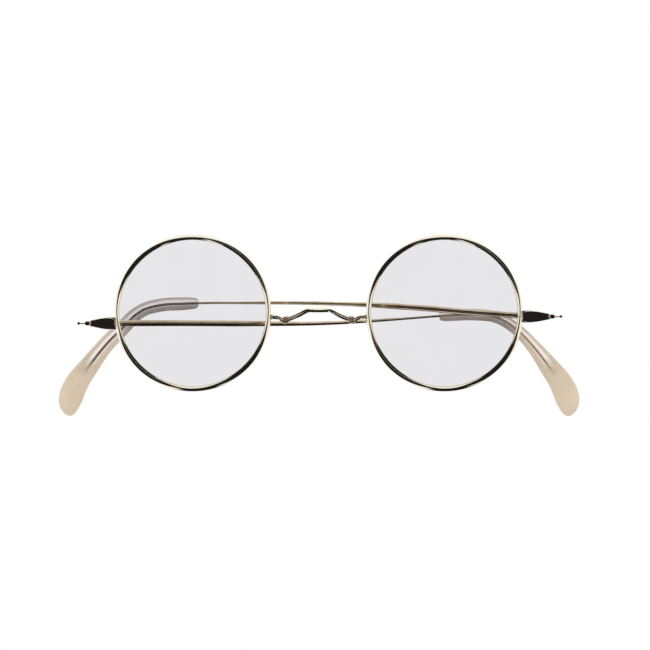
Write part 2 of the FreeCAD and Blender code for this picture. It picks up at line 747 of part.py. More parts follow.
def makeTip(side):
    """Moulded tip, round over the bend and flattening to a rounded paddle."""
    curve = centreLine(side)
    total = curve.length()
    long = size("tip_length_" + side)
    start = total - long
    wide = "Sizes.tip_end / 2"
    flat = "Sizes.tip_flat / 2"
    middle = "Sizes.tip_middle / 2"
    round_ = size("tip_end") / 2
    plan = [
        (0.0, "Sizes.tip_start / 2", "Sizes.tip_start / 2"),
        (long * 0.09, middle, middle),
        (long * 0.30, middle, middle + " * 0.97"),
        (long * 0.44, "Sizes.tip_bend / 2", middle + " * 0.92"),
        (long * 0.60, "Sizes.tip_bend / 2 * 1.08", middle + " * 0.8"),
        (long * 0.80, wide + " * 0.97", flat + " * 1.06"),
        (long * 0.90, wide, flat),
    ]

    def radii(at):
        """The plan's size, closing to a rounded end."""
        left = (long - at) / round_
        closing = 1.0 if left >= 1 else max(0.15, math.sqrt(1 - (1 - left) ** 2))
        across, thick = between(plan, at)
        return [
            "(%s) * %.4f" % (across, closing),
            "(%s) * %.4f" % (thick, max(closing, 0.35)) if closing > 0.15
            else "(%s) * %.4f" % (across, closing * 0.9),
        ]

    count = 16
    distances = [(long - round_) * i / (count - 1) for i in range(count)]
    distances += [long - round_ * share for share in (0.6, 0.3, 0.1, 0.0)]
    outside = doc.addObject("Part::Loft", "TipOutside_" + side)
    outside.Sections = rings("Tip", curve, side, start, distances, radii)
    outside.Solid = True
    outside.Ruled = False
    # The bore takes the wire, from the mouth of the tip to the wire's end.
    end = total - size("core_short") + size("core_play")
    boreLine = spineOf("BoreLine_" + side, curve, start - 0.5, end)
    hole = "Sizes.wire_tip / 2 + Sizes.core_play"
    mouth = ring("Bore_" + side, hole, hole, station(curve, side, start - 0.5))
    bore = sweep("TipBore_" + side, boreLine, [mouth])
    return node(cut("TempleTip_" + side, outside, bore), "temple_tip_" + side)


# ---------------------------------------------------------------- assembly
makeBridge()
for side in sides:
    makeRim(side)
    makeLens(side)
    makeEndPiece(side)
    makeBlock(side, "upper")
    makeBlock(side, "lower")
    makeScrew("ClosingScrew_" + side, "closing_screw_" + side, "Sizes.clamp_head",
              "Sizes.clamp_screw", "(Sizes.block_height - 0.1)", blockMiddle(side), blockY(),
              "%s + Sizes.block_height / 2" % level(side))
    makeFrontHinge(side)
    makeScrew("HingeScrew_" + side, "hinge_screw_" + side, "Sizes.hinge_head",
              "Sizes.hinge_pin", "(Sizes.hinge_height - 0.05)", signed(side, hingeX), hingeY,
              "%s + Sizes.hinge_height / 2" % level(side))
    makeTempleHinge(side)
    makeTemple(side)
    makeTip(side)

doc.recompute()

for obj in doc.Objects:
    if "Invalid" in obj.State or "Error" in obj.State:
        raise RuntimeError("%s did not build" % obj.Name)
for obj in nodes:
    if obj.Shape.isNull() or not obj.Shape.isValid():
        raise RuntimeError("%s has no valid shape" % obj.Label)

os.makedirs("parts", exist_ok=True)
for obj in nodes:
    obj.Shape.exportStep("parts/%s.step" % obj.Label)
print("%d pieces" % len(nodes))
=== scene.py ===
import bpy
import json
import math
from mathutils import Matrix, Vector


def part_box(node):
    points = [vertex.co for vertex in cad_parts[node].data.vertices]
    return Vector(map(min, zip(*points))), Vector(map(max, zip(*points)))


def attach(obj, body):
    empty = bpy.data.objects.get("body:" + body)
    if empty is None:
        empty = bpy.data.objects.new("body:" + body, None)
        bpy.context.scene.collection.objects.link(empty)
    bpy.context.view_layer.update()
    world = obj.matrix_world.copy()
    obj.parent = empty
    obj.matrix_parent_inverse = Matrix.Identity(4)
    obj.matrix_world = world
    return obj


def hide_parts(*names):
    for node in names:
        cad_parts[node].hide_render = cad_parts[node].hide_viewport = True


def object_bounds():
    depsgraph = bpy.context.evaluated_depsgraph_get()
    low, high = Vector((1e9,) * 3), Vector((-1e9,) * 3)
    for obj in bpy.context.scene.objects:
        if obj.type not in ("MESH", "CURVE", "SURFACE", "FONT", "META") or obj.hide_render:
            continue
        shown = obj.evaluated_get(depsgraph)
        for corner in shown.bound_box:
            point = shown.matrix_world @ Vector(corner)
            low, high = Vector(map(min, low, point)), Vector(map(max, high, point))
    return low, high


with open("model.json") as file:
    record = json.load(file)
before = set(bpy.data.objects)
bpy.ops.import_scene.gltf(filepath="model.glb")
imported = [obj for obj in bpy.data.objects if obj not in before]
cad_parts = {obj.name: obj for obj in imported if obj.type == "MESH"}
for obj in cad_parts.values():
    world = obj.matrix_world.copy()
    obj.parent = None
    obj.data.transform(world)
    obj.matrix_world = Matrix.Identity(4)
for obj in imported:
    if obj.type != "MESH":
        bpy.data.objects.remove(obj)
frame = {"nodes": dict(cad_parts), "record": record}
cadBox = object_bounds()
nodes = frame["nodes"]
mm = 0.001
sides = {"right": -1, "left": 1}
hinges = {joint["child"]: Vector(joint["pos_m"])
          for joint in frame["record"]["behaviour"]["joints"]}


def middle(node):
    low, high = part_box(node)
    return (Vector(low) + Vector(high)) / 2


rimMiddle = {side: middle("rim_" + side) for side in sides}


# Modelling helpers: everything is selected by place, then shaped with the edit mode tools

def freeSelection():
    if bpy.context.object and bpy.context.object.mode != "OBJECT":
        bpy.ops.object.mode_set(mode="OBJECT")
    bpy.ops.object.select_all(action="DESELECT")


def edit(piece):
    freeSelection()
    piece.select_set(True)
    bpy.context.view_layer.objects.active = piece
    bpy.ops.object.mode_set(mode="EDIT")
    bpy.ops.mesh.select_mode(type="VERT")


def pickNumbered(piece, chosen):
    if piece.mode != "OBJECT":
        bpy.ops.object.mode_set(mode="OBJECT")
    for face in piece.data.polygons:
        face.select = False
    for edge in piece.data.edges:
        edge.select = False
    for vert in piece.data.vertices:
        vert.select = vert.index in chosen
    edit(piece)


def pick(piece, test):
    if piece.mode != "OBJECT":
        bpy.ops.object.mode_set(mode="OBJECT")
    pickNumbered(piece, {vert.index for vert in piece.data.vertices if test(vert.co)})


def chain(name, points):
    # a line of vertices, pulled out one after the other from a plane merged to a point
    freeSelection()
    bpy.ops.mesh.primitive_plane_add(size=mm, location=(0, 0, 0))
    piece = bpy.context.object
    piece.name = name
    bpy.ops.object.mode_set(mode="EDIT")
    bpy.ops.mesh.select_mode(type="VERT")
    bpy.ops.mesh.select_all(action="SELECT")
    bpy.ops.mesh.merge(type="CENTER")
    places = [Vector(point) * mm for point in points]
    bpy.ops.transform.translate(value=places[0])
    for start, end in zip(places, places[1:]):
        bpy.ops.mesh.extrude_vertices_move(TRANSFORM_OT_translate={"value": end - start})
    return piece


def lathe(piece, steps, axis, centre=(0, 0, 0), angle=2 * math.pi):
    edit(piece)
    bpy.ops.mesh.select_all(action="SELECT")
    bpy.ops.mesh.spin(steps=steps, angle=angle, center=centre, axis=axis)
    tidyMesh(piece)


def tidyMesh(piece, near=0.002):
    edit(piece)
    bpy.ops.mesh.select_all(action="SELECT")
    bpy.ops.mesh.remove_doubles(threshold=near * mm)
    bpy.ops.mesh.normals_make_consistent(inside=False)
    bpy.ops.object.mode_set(mode="OBJECT")


def smooth(piece, degrees=35):
    freeSelection()
    piece.select_set(True)
    bpy.context.view_layer.objects.active = piece
    bpy.ops.object.shade_smooth_by_angle(angle=math.radians(degrees))


def settle(piece, place=(0, 0, 0), turn=(0, 0, 0), mirror=False):
    # moves the piece to its place and leaves the object at the origin
    freeSelection()
    piece.select_set(True)
    bpy.context.view_layer.objects.active = piece
    bpy.ops.object.transform_apply(location=True, rotation=True, scale=True)
    piece.scale = (-1 if mirror else 1, 1, 1)
    piece.rotation_euler = turn
    piece.location = place
    bpy.ops.object.transform_apply(location=True, rotation=True, scale=True)
    if mirror:
        edit(piece)
        bpy.ops.mesh.select_all(action="SELECT")
        bpy.ops.mesh.normals_make_consistent(inside=False)
        bpy.ops.object.mode_set(mode="OBJECT")


def twin(piece, name):
    copy = piece.copy()
    copy.data = piece.data.copy()
    copy.name = name
    bpy.context.collection.objects.link(copy)
    return copy


def dress(piece, body, slotName, look, *stands):
    piece.data.materials.clear()
    piece.data.materials.append(look)
    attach(piece, body)
    if stands:
        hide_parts(*stands)


# Materials

def newMaterial(name):
    material = bpy.data.materials.new(name)
    material.use_nodes = True
    tree = material.node_tree
    tree.nodes.clear()
    return material, tree


def addNode(tree, kind, **values):
    item = tree.nodes.new(kind)
    for key, value in values.items():
        setattr(item, key, value)
    return item


def rampOf(tree, source, stops):
    ramp = addNode(tree, "ShaderNodeValToRGB")
    while len(ramp.color_ramp.elements) < len(stops):
        ramp.color_ramp.elements.new(0.5)
    for element, (position, colour) in zip(ramp.color_ramp.elements, stops):
        element.position = position
        element.color = (*colour, 1)
    tree.links.new(source, ramp.inputs["Fac"])
    return ramp.outputs["Color"]


def noiseOf(tree, place, scale, detail, stretch=(1, 1, 1)):
    mapping = addNode(tree, "ShaderNodeMapping")
    mapping.inputs["Scale"].default_value = stretch
    noise = addNode(tree, "ShaderNodeTexNoise")
    noise.inputs["Scale"].default_value = scale
    noise.inputs["Detail"].default_value = detail
    tree.links.new(place, mapping.inputs["Vector"])
    tree.links.new(mapping.outputs["Vector"], noise.inputs["Vector"])
    return noise.outputs["Fac"]


goldLook = {
    "pale": (0.95, 0.90, 0.77),
    "warm": (0.91, 0.80, 0.60),
    "roughLow": 0.03,
    "roughHigh": 0.09,
    "cloudSize": 240.0,
    "scratchSize": 2600.0,
    "scratchDepth": 0.004,
    "scratchStrength": 0.25,
}


def makeMetal(name, pale, warm, roughLow, roughHigh):
    # plated metal: slow changes of tone, finer changes of polish and hairline scratches
    material, tree = newMaterial(name)
    out = addNode(tree, "ShaderNodeOutputMaterial")
    shader = addNode(tree, "ShaderNodeBsdfPrincipled")
    place = addNode(tree, "ShaderNodeTexCoord").outputs["Object"]
    cloud = noiseOf(tree, place, goldLook["cloudSize"], 4.0)
    tree.links.new(rampOf(tree, cloud, [(0.34, warm), (0.62, pale)]), shader.inputs["Base Color"])
    polish = noiseOf(tree, place, goldLook["cloudSize"] * 4, 3.0)
    level = addNode(tree, "ShaderNodeMapRange")
    level.inputs["To Min"].default_value = roughLow
    level.inputs["To Max"].default_value = roughHigh
    tree.links.new(polish, level.inputs["Value"])
    tree.links.new(level.outputs["Result"], shader.inputs["Roughness"])
    scratch = noiseOf(tree, place, goldLook["scratchSize"], 2.0, (1, 0.25, 1))
    bump = addNode(tree, "ShaderNodeBump")
    bump.inputs["Strength"].default_value = goldLook["scratchStrength"]
    bump.inputs["Distance"].default_value = goldLook["scratchDepth"] * mm
    tree.links.new(scratch, bump.inputs["Height"])
    tree.links.new(bump.outputs["Normal"], shader.inputs["Normal"])
    shader.inputs["Metallic"].default_value = 1.0
    tree.links.new(shader.outputs["BSDF"], out.inputs["Surface"])
    return material


gold = makeMetal("paleGold", goldLook["pale"], goldLook["warm"],
                 goldLook["roughLow"], goldLook["roughHigh"])
solderGold = makeMetal("solderGold", (0.74, 0.56, 0.43), (0.52, 0.33, 0.25), 0.12, 0.24)
# near-black metal for the bead and ball of each end piece: a painted dark reflection of the dark
# studio front
paintedDarkBead = makeMetal("paintedDarkBead", (0.045, 0.04, 0.036), (0.02, 0.018, 0.016), 0.16, 0.3)
# dark brown copy of the core wire for the left tip: painted shade and dark reflection
shadedCoreMetal = makeMetal("paintedShadeCore", (0.10, 0.065, 0.04), (0.05, 0.032, 0.02), 0.3, 0.45)
# a darker copy of the pale gold for the temple wires: painted shade
wireGold = makeMetal("shadedWireGold", (0.72, 0.60, 0.43), (0.54, 0.41, 0.27), 0.03, 0.09)
# pale copy of the same core wire for the right tip: a painted highlight line
paintedLitCore = makeMetal("paintedLitCore", (0.92, 0.84, 0.72), (0.84, 0.74, 0.60), 0.6, 0.75)
steel = makeMetal("screwSteel", (0.78, 0.76, 0.72), (0.64, 0.60, 0.54), 0.16, 0.3)


lensTint = [(0.900, 0.896, 0.909), (0.904, 0.900, 0.913)]
lensGloss = {"rough": 0.03, "index": 1.5, "coated": 0.25}


def makeLensLook():
    # clear with a faint grey tint, its surface cleaner in some places than others
    material, tree = newMaterial("lensClear")
    out = addNode(tree, "ShaderNodeOutputMaterial")
    place = addNode(tree, "ShaderNodeTexCoord").outputs["Object"]
    clear = addNode(tree, "ShaderNodeBsdfTransparent")
    haze = noiseOf(tree, place, 60.0, 2.0)
    tint = rampOf(tree, haze, [(0.3, lensTint[0]), (0.7, lensTint[1])])
    tree.links.new(tint, clear.inputs["Color"])
    gloss = addNode(tree, "ShaderNodeBsdfGlossy")
    gloss.inputs["Roughness"].default_value = lensGloss["rough"]
    fresnel = addNode(tree, "ShaderNodeFresnel")
    fresnel.inputs["IOR"].default_value = lensGloss["index"]
    coated = addNode(tree, "ShaderNodeMath", operation="MULTIPLY")
    coated.inputs[1].default_value = lensGloss["coated"]
    tree.links.new(fresnel.outputs["Fac"], coated.inputs[0])
    mix = addNode(tree, "ShaderNodeMixShader")
    tree.links.new(coated.outputs[0], mix.inputs["Fac"])
    tree.links.new(clear.outputs["BSDF"], mix.inputs[1])
    tree.links.new(gloss.outputs["BSDF"], mix.inputs[2])
    tree.links.new(mix.outputs["Shader"], out.inputs["Surface"])
    return material


lensLook = makeLensLook()

tipColours = {
    # across the clear part, from its lower edge to its upper edge: painted shade at both edges and
    # a painted highlight band above the middle
    "across": [(0.0, (0.27, 0.235, 0.215)), (0.18, (0.36, 0.31, 0.275)),
               (0.46, (0.40, 0.345, 0.30)), (0.58, (0.95, 0.85, 0.76)),
               (0.76, (0.98, 0.90, 0.82)), (0.86, (0.47, 0.415, 0.41)),
               (1.0, (0.42, 0.365, 0.365))],
    "drop": (0.78, 0.66, 0.51),
    "paddle": (0.74, 0.60, 0.445),
    "cloud": (0.80, 0.69, 0.55),
    # the colour the tip darkens to where its surface turns away: painted shade at its edges
    "edge": (0.46, 0.385, 0.34),
    "rough": 0.22,
    "index": 1.49,
    "cloudSize": 150.0,
    "cloudMost": 0.35,
    "edgeShadeBlend": 0.35,
    "edgeShadeMost": 0.5,
    "waveSize": 260.0,
    "waveStrength": 0.15,
    "waveDepth": 0.006,
    "wall": (0.98, 0.955, 0.93, 1),
    "mouthClear": 0.85,
    "dropClear": 0.92,
    # how clear the wall is, from its lower edge to its upper edge, clearest across the middle and
    # the painted highlight band
    "window": [(0.0, 0.15), (0.30, 0.28), (0.40, 0.9), (0.60, 0.95), (0.76, 0.92), (0.86, 0.25),
               (1.0, 0.12)],
}


def makeTipLook():
    # moulded tip: see-through and greyish at its mouth, milky cream at its end, cloudy inside, with
    # painted shade at its edges and a painted highlight band along its clear part
    material, tree = newMaterial("tipCream")
    out = addNode(tree, "ShaderNodeOutputMaterial")
    place = addNode(tree, "ShaderNodeTexCoord").outputs["Object"]
    along = addNode(tree, "ShaderNodeAttribute", attribute_name="along").outputs["Fac"]
    lift = addNode(tree, "ShaderNodeAttribute", attribute_name="lift").outputs["Fac"]
    # the clear part's colour carries painted shade at its edges and a painted highlight band
    clearPartPaintedLight = rampOf(tree, lift, tipColours["across"])
    milky = rampOf(tree, along, [(0.45, tipColours["drop"]), (0.8, tipColours["paddle"])])
    turning = rampOf(tree, along, [(0.36, (0, 0, 0)), (0.52, (1, 1, 1))])
    whole = addNode(tree, "ShaderNodeMix", data_type="RGBA")
    tree.links.new(turning, whole.inputs["Factor"])
    tree.links.new(clearPartPaintedLight, whole.inputs["A"])
    tree.links.new(milky, whole.inputs["B"])
    body = whole.outputs["Result"]
    cloud = noiseOf(tree, place, tipColours["cloudSize"], 3.0)
    cloudy = addNode(tree, "ShaderNodeMix", data_type="RGBA")
    amount = addNode(tree, "ShaderNodeMapRange")
    amount.inputs["From Min"].default_value = 0.45
    amount.inputs["From Max"].default_value = 0.75
    amount.inputs["To Max"].default_value = tipColours["cloudMost"]
    tree.links.new(cloud, amount.inputs["Value"])
    tree.links.new(amount.outputs["Result"], cloudy.inputs["Factor"])
    tree.links.new(body, cloudy.inputs["A"])
    cloudy.inputs["B"].default_value = (*tipColours["cloud"], 1)
    # painted shade: darker towards the edges that turn away from the view
    facing = addNode(tree, "ShaderNodeLayerWeight")
    facing.inputs["Blend"].default_value = tipColours["edgeShadeBlend"]
    edgeShaded = addNode(tree, "ShaderNodeMix", data_type="RGBA")
    share = addNode(tree, "ShaderNodeMath", operation="MULTIPLY")
    share.inputs[1].default_value = tipColours["edgeShadeMost"]
    tree.links.new(facing.outputs["Facing"], share.inputs[0])
    tree.links.new(share.outputs[0], edgeShaded.inputs["Factor"])
    tree.links.new(cloudy.outputs["Result"], edgeShaded.inputs["A"])
    edgeShaded.inputs["B"].default_value = (*tipColours["edge"], 1)
    shader = addNode(tree, "ShaderNodeBsdfPrincipled")
    shader.inputs["Roughness"].default_value = tipColours["rough"]
    shader.inputs["IOR"].default_value = tipColours["index"]
    tree.links.new(edgeShaded.outputs["Result"], shader.inputs["Base Color"])
    wave = noiseOf(tree, place, tipColours["waveSize"], 1.0)
    bump = addNode(tree, "ShaderNodeBump")
    bump.inputs["Strength"].default_value = tipColours["waveStrength"]
    bump.inputs["Distance"].default_value = tipColours["waveDepth"] * mm
    tree.links.new(wave, bump.inputs["Height"])
    tree.links.new(bump.outputs["Normal"], shader.inputs["Normal"])
    clear = addNode(tree, "ShaderNodeBsdfTransparent")
    clear.inputs["Color"].default_value = tipColours["wall"]
    mouth = tipColours["mouthClear"]
    drop = tipColours["dropClear"]
    clearness = [(0.0, mouth), (0.42, mouth), (0.52, drop), (0.66, drop), (0.775, 0.0)]
    seeing = rampOf(tree, along, [(at, (value,) * 3) for at, value in clearness])
    window = rampOf(tree, lift, [(at, (value,) * 3) for at, value in tipColours["window"]])
    both = addNode(tree, "ShaderNodeMath", operation="MULTIPLY")
    tree.links.new(seeing, both.inputs[0])
    tree.links.new(window, both.inputs[1])
    mix = addNode(tree, "ShaderNodeMixShader")
    tree.links.new(both.outputs[0], mix.inputs["Fac"])
    tree.links.new(shader.outputs["BSDF"], mix.inputs[1])
    tree.links.new(clear.outputs["BSDF"], mix.inputs[2])
    tree.links.new(mix.outputs["Shader"], out.inputs["Surface"])
    return material


tipLook = makeTipLook()
print("materials done")


# Rims: a half-round section with a thin lip and a lens groove, turned round the lens

rim = {
    "outside": 21.19,
    "wall": 1.49,
    "depth": 1.7,
    "groove": 0.62,
    "lipLine": 0.04,
    "slit": 0.2,
    "slitLevel": {"right": -2.8, "left": -0.95},
    "sectionPoints": 44,
    "steps": 200,
}


def makeRims():
    half = rim["wall"] / 2
    centre = (rim["outside"] - half) * mm
    freeSelection()
    bpy.ops.mesh.primitive_circle_add(vertices=rim["sectionPoints"], radius=half * mm,
                                      location=(centre, 0, 0))
    ring = bpy.context.object
    ring.name = "rimRing_left"
    bpy.ops.object.transform_apply(location=True)
    edit(ring)
    bpy.ops.mesh.select_all(action="SELECT")
    bpy.ops.transform.resize(value=(1, rim["depth"] / rim["wall"], 1),
                             center_override=(centre, 0, 0))
    # the groove behind the lip takes the lens's bevel
    pick(ring, lambda at: at.x < centre - 0.6 * half * mm and abs(at.y) < 0.24 * mm)
    bpy.ops.transform.translate(value=(rim["groove"] * mm, 0, 0))
    lipAt = centre - 0.62 * half * mm
    for front in (-1, 1):
        pick(ring, lambda at: abs(at.x - lipAt) < 0.045 * mm and at.y * front > 0)
        bpy.ops.transform.translate(value=(0, -front * rim["lipLine"] * mm, 0))
    gap = rim["slit"] / rim["outside"]
    lathe(ring, rim["steps"], (0, 1, 0), angle=2 * math.pi - gap)
    edit(ring)
    for start in (True, False):
        bpy.ops.mesh.select_all(action="DESELECT")
        bpy.ops.mesh.select_non_manifold()
        bpy.ops.object.mode_set(mode="OBJECT")
        for vert in ring.data.vertices:
            onStart = abs(vert.co.z) < 0.01 * mm
            if vert.select and onStart != start:
                vert.select = False
        edit(ring)
        bpy.ops.mesh.edge_face_add()
    tidyMesh(ring, 0.001)
    smooth(ring, 40)
    other = twin(ring, "rimRing_right")
    for side, piece in (("left", ring), ("right", other)):
        tilt = math.asin(-rim["slitLevel"][side] / rim["outside"])
        turn = tilt if side == "left" else math.pi - tilt
        settle(piece, rimMiddle[side], (0, turn, 0))
        dress(piece, "front", "rim", gold, "rim_" + side)


makeRims()
print("rims done")


# Lenses: an arc for each face, joined by the bevel that sits in the groove, turned once round

lens = {
    "curve": 130.0,
    "thick": 1.5,
    "edge": 19.62,
    "bevel": 20.28,
    "steps": 120,
    "rings": 9,
}


def makeLenses():
    lip = rim["outside"] - rim["wall"]
    sag = lens["curve"] - math.sqrt(lens["curve"] ** 2 - lip ** 2)
    front = -lens["thick"] / 2 - sag
    centre = front + lens["curve"]
    back = lens["curve"] - lens["thick"]
    points = []
    for i in range(lens["rings"] + 1):
        out = lens["edge"] * i / lens["rings"]
        points.append((out, centre - math.sqrt(lens["curve"] ** 2 - out ** 2), 0))
    points += [(lens["edge"], -0.42, 0), (lens["bevel"], 0, 0), (lens["edge"], 0.42, 0)]
    for i in range(lens["rings"], -1, -1):
        out = lens["edge"] * i / lens["rings"]
        points.append((out, centre - math.sqrt(back ** 2 - out ** 2), 0))
    glass = chain("lensGlass_left", points)
    lathe(glass, lens["steps"], (0, 1, 0))
    smooth(glass, 20)
    other = twin(glass, "lensGlass_right")
    for side, piece in (("left", glass), ("right", other)):
        settle(piece, rimMiddle[side])
        dress(piece, "front", "lens", lensLook, "lens_" + side)


makeLenses()
print("lenses done")


# Curved wires: a curve through chosen points, thick where its radii say

def wireAlong(name, points, radii, sections=24, resolution=10):
    freeSelection()
    bpy.ops.curve.primitive_bezier_curve_add(location=(0, 0, 0))
    line = bpy.context.object
    line.name = name
    shape = line.data
    shape.dimensions = "3D"
    shape.resolution_u = resolution
    shape.bevel_depth = mm
    shape.bevel_resolution = sections // 4
    shape.use_fill_caps = True
    shape.twist_mode = "MINIMUM"
    spline = shape.splines[0]
    spline.bezier_points.add(len(points) - 2)
    for spot, place, radius in zip(spline.bezier_points, points, radii):
        spot.co = Vector(place) * mm
        spot.radius = radius
        spot.handle_left_type = "AUTO"
        spot.handle_right_type = "AUTO"
    freeSelection()
    line.select_set(True)
    bpy.context.view_layer.objects.active = line
    bpy.ops.object.convert(target="MESH")
    tube = bpy.context.object
    tube.name = name
    return tube


# Bridge: straight crest, slopes to two curled low points, shoulders soldered to the rims

bridge = {
    "half": [
        (12.95, 0.6, -1.18), (12.35, 0.6, -1.18), (11.2, 0.8, -1.30), (9.9, 1.25, -1.95),
        (8.9, 1.7, -2.08), (7.7, 1.4, -1.62), (5.2, 0.55, -0.60), (3.45, 0.07, 0.32),
        (2.6, 0.0, 0.64), (1.1, 0.0, 0.64),
    ],
    "radii": [0.85, 0.64, 0.575, 0.60, 0.64, 0.63, 0.64, 0.64, 0.64, 0.64],
    "wrapMiddle": (8.95, 1.68, -2.02),
    "wrapTurns": 3,
    "wrapStep": 0.56,
    "wrapOut": 0.88,
    "wrapWire": 0.27,
}


def makeBridge():
    points = bridge["half"] + [(-x, y, z) for x, y, z in reversed(bridge["half"])]
    radii = bridge["radii"] + bridge["radii"][::-1]
    wire = wireAlong("bridgeWire", points, radii)
    tidyMesh(wire)
    smooth(wire, 50)
    settle(wire)
    dress(wire, "front", "bridge_wire", gold, "bridge")
    # a few turns of finer wire, soldered over each low point
    x, y, z = bridge["wrapMiddle"]
    steps = bridge["wrapTurns"] * 8
    points = []
    radii = []
    for i in range(steps + 1):
        turn = 2 * math.pi * i / 8
        at = (i / steps - 0.5) * bridge["wrapTurns"] * bridge["wrapStep"]
        out = bridge["wrapOut"] - 0.25 * abs(2 * i / steps - 1) ** 3
        points.append((x + at, y + out * math.cos(turn), z - 0.12 * at + out * math.sin(turn)))
        radii.append(bridge["wrapWire"] * (0.7 if i in (0, steps) else 1))
    for side, sign in sides.items():
        wrap = wireAlong("bridgeWrap_" + side, points, radii, sections=12, resolution=4)
        tidyMesh(wrap)
        settle(wrap, mirror=sign < 0)
        smooth(wrap, 60)
        dress(wrap, "front", "bridge_wire", solderGold, "bridge")


makeBridge()
print("bridge done")


# End pieces: a leaf-shaped plate with a raised face, then collar, bead, neck and ball

leaf = {
    "share": {"right": 0.9, "left": 1.0},
    "heights": [(-0.06, 2.2), (0.5, 2.66), (1.0, 2.9), (1.55, 3.03), (2.2, 3.05), (3.0, 2.98),
                (3.8, 2.82), (4.6, 2.56), (5.4, 2.24), (6.2, 1.92), (7.0, 1.6)],
    "front": -0.7,
    "thick": 0.8,
    "bevel": 0.10,
    "inset": 0.05,
}
finial = {
    "middle": -0.3,
    "parts": {
        "collar": [(0, 0), (0, 0.80), (0.05, 0.88), (0.33, 0.88), (0.4, 0.80), (0.4, 0)],
        "bead": [(0.38, 0), (0.38, 0.40), (0.5, 0.5), (0.72, 0.575), (1.0, 0.58), (1.28, 0.54),
                 (1.46, 0.44), (1.56, 0.3), (1.58, 0)],
        "neck": [(1.5, 0), (1.5, 0.34), (1.66, 0.25), (1.9, 0.22), (2.8, 0.21), (2.95, 0.2),
                 (2.95, 0)],
        "ball": [(2.88, 0), (2.9, 0.16), (3.0, 0.29), (3.15, 0.36), (3.3, 0.38), (3.45, 0.34),
                 (3.56, 0.24), (3.63, 0.12), (3.65, 0)],
    },
}


def makeLeaf(side):
    sign = sides[side]
    level = hinges["temple_" + side].z / mm
    centre = rimMiddle[side] / mm
    edge = abs(centre.x) + rim["outside"]
    top = []
    bottom = []
    for out, height in leaf["heights"]:
        for row, up in ((top, 1), (bottom, -1)):
            z = level + up * height / 2
            x = edge + out * leaf["share"][side]
            if out < 0:
                drop = z - centre.z
                x = abs(centre.x) + math.sqrt(rim["outside"] ** 2 - drop ** 2) - 0.05
            row.append((x, 0, z))
    plate = chain("leafPlate_" + side, top + bottom[::-1])
    bpy.ops.mesh.select_all(action="SELECT")
    bpy.ops.mesh.edge_face_add()
    bpy.ops.mesh.select_all(action="SELECT")
    bpy.ops.mesh.extrude_region_move(
        TRANSFORM_OT_translate={"value": (0, leaf["thick"] * mm, 0)})
    tidyMesh(plate)
    pick(plate, lambda at: abs(at.y) < 0.01 * mm)
    bpy.ops.mesh.bevel(offset=leaf["bevel"] * mm, segments=3)
    # a narrow border keeps the front face flat in its shading
    pick(plate, lambda at: abs(at.y) < 0.001 * mm)
    bpy.ops.mesh.select_mode(type="FACE")
    bpy.ops.mesh.inset(thickness=leaf["inset"] * mm, depth=0)
    bpy.ops.mesh.select_mode(type="VERT")
    tidyMesh(plate, 0.001)
    smooth(plate, 40)
    settle(plate, (0, leaf["front"] * mm, 0), mirror=sign < 0)
    smooth(plate, 40)
    dress(plate, "front", "end_piece", gold, "end_piece_" + side)
    start = edge + leaf["heights"][-1][0] * leaf["share"][side]
    for part, profile in finial["parts"].items():
        points = [(x + start, y, 0) for x, y in profile]
        piece = chain("finial_%s_%s" % (part, side), points)
        lathe(piece, 36, (1, 0, 0))
        smooth(piece, 50)
        settle(piece, (0, finial["middle"] * mm, level * mm), mirror=sign < 0)
        smooth(piece, 50)
        # bead and ball are painted near-black as a painted dark reflection; the collar stays gold
        look = paintedDarkBead if part in ("bead", "ball") else gold
        dress(piece, "front", "end_piece", look, "end_piece_" + side)


for side in sides:
    makeLeaf(side)
print("end pieces done")


# Temples: wires folded behind the lenses, flattened at the hinge, their ends inside the tips

temple = {
    "fold": {"right": 4.2, "left": 9.8},
    "stretch": {"right": 1.0, "left": 1.013},
    "offset": 1.8,
    "bend": 113.4,
    "start": {"right": [(-0.6, -2.8), (5.0, -2.8)], "left": [(-0.6, -0.95), (5.0, -0.7)]},
    "runs": {
        "right": [(22.0, -2.75), (41.0, -2.85), (60.0, -2.8), (81.0, -1.65), (94.0, -0.7),
                  (103.0, -0.5), (108.0, -1.3)],
        "left": [(16.0, 0.05), (37.0, 1.7), (58.0, 2.6), (80.0, 2.75), (96.0, 2.55),
                 (103.8, 1.9), (108.0, 0.4)],
    },
    "drop": [(0.0, -4.6), (3.8, -8.4), (8.8, -14.7), (12.0, -19.2), (13.7, -23.5), (13.9, -27.9)],
    "radii": [(0, 0.83), (39, 0.82), (46, 0.68), (55, 0.55), (74, 0.44), (78, 0.40), (84, 0.33),
              (200, 0.33)],
    "tipLength": {"right": 50.2, "left": 51.8},
    "coreShort": 12.0,
    "core": 0.345,
    "sections": 46,
    "coreSections": 20,
    # near, far and the share of the flattening between them
    "butt": ((-2.0, 3.9, 1.0), (3.9, 5.0, 0.6), (5.0, 6.2, 0.25)),
    "buttTall": 1.27,
    "buttThin": 0.72,
}
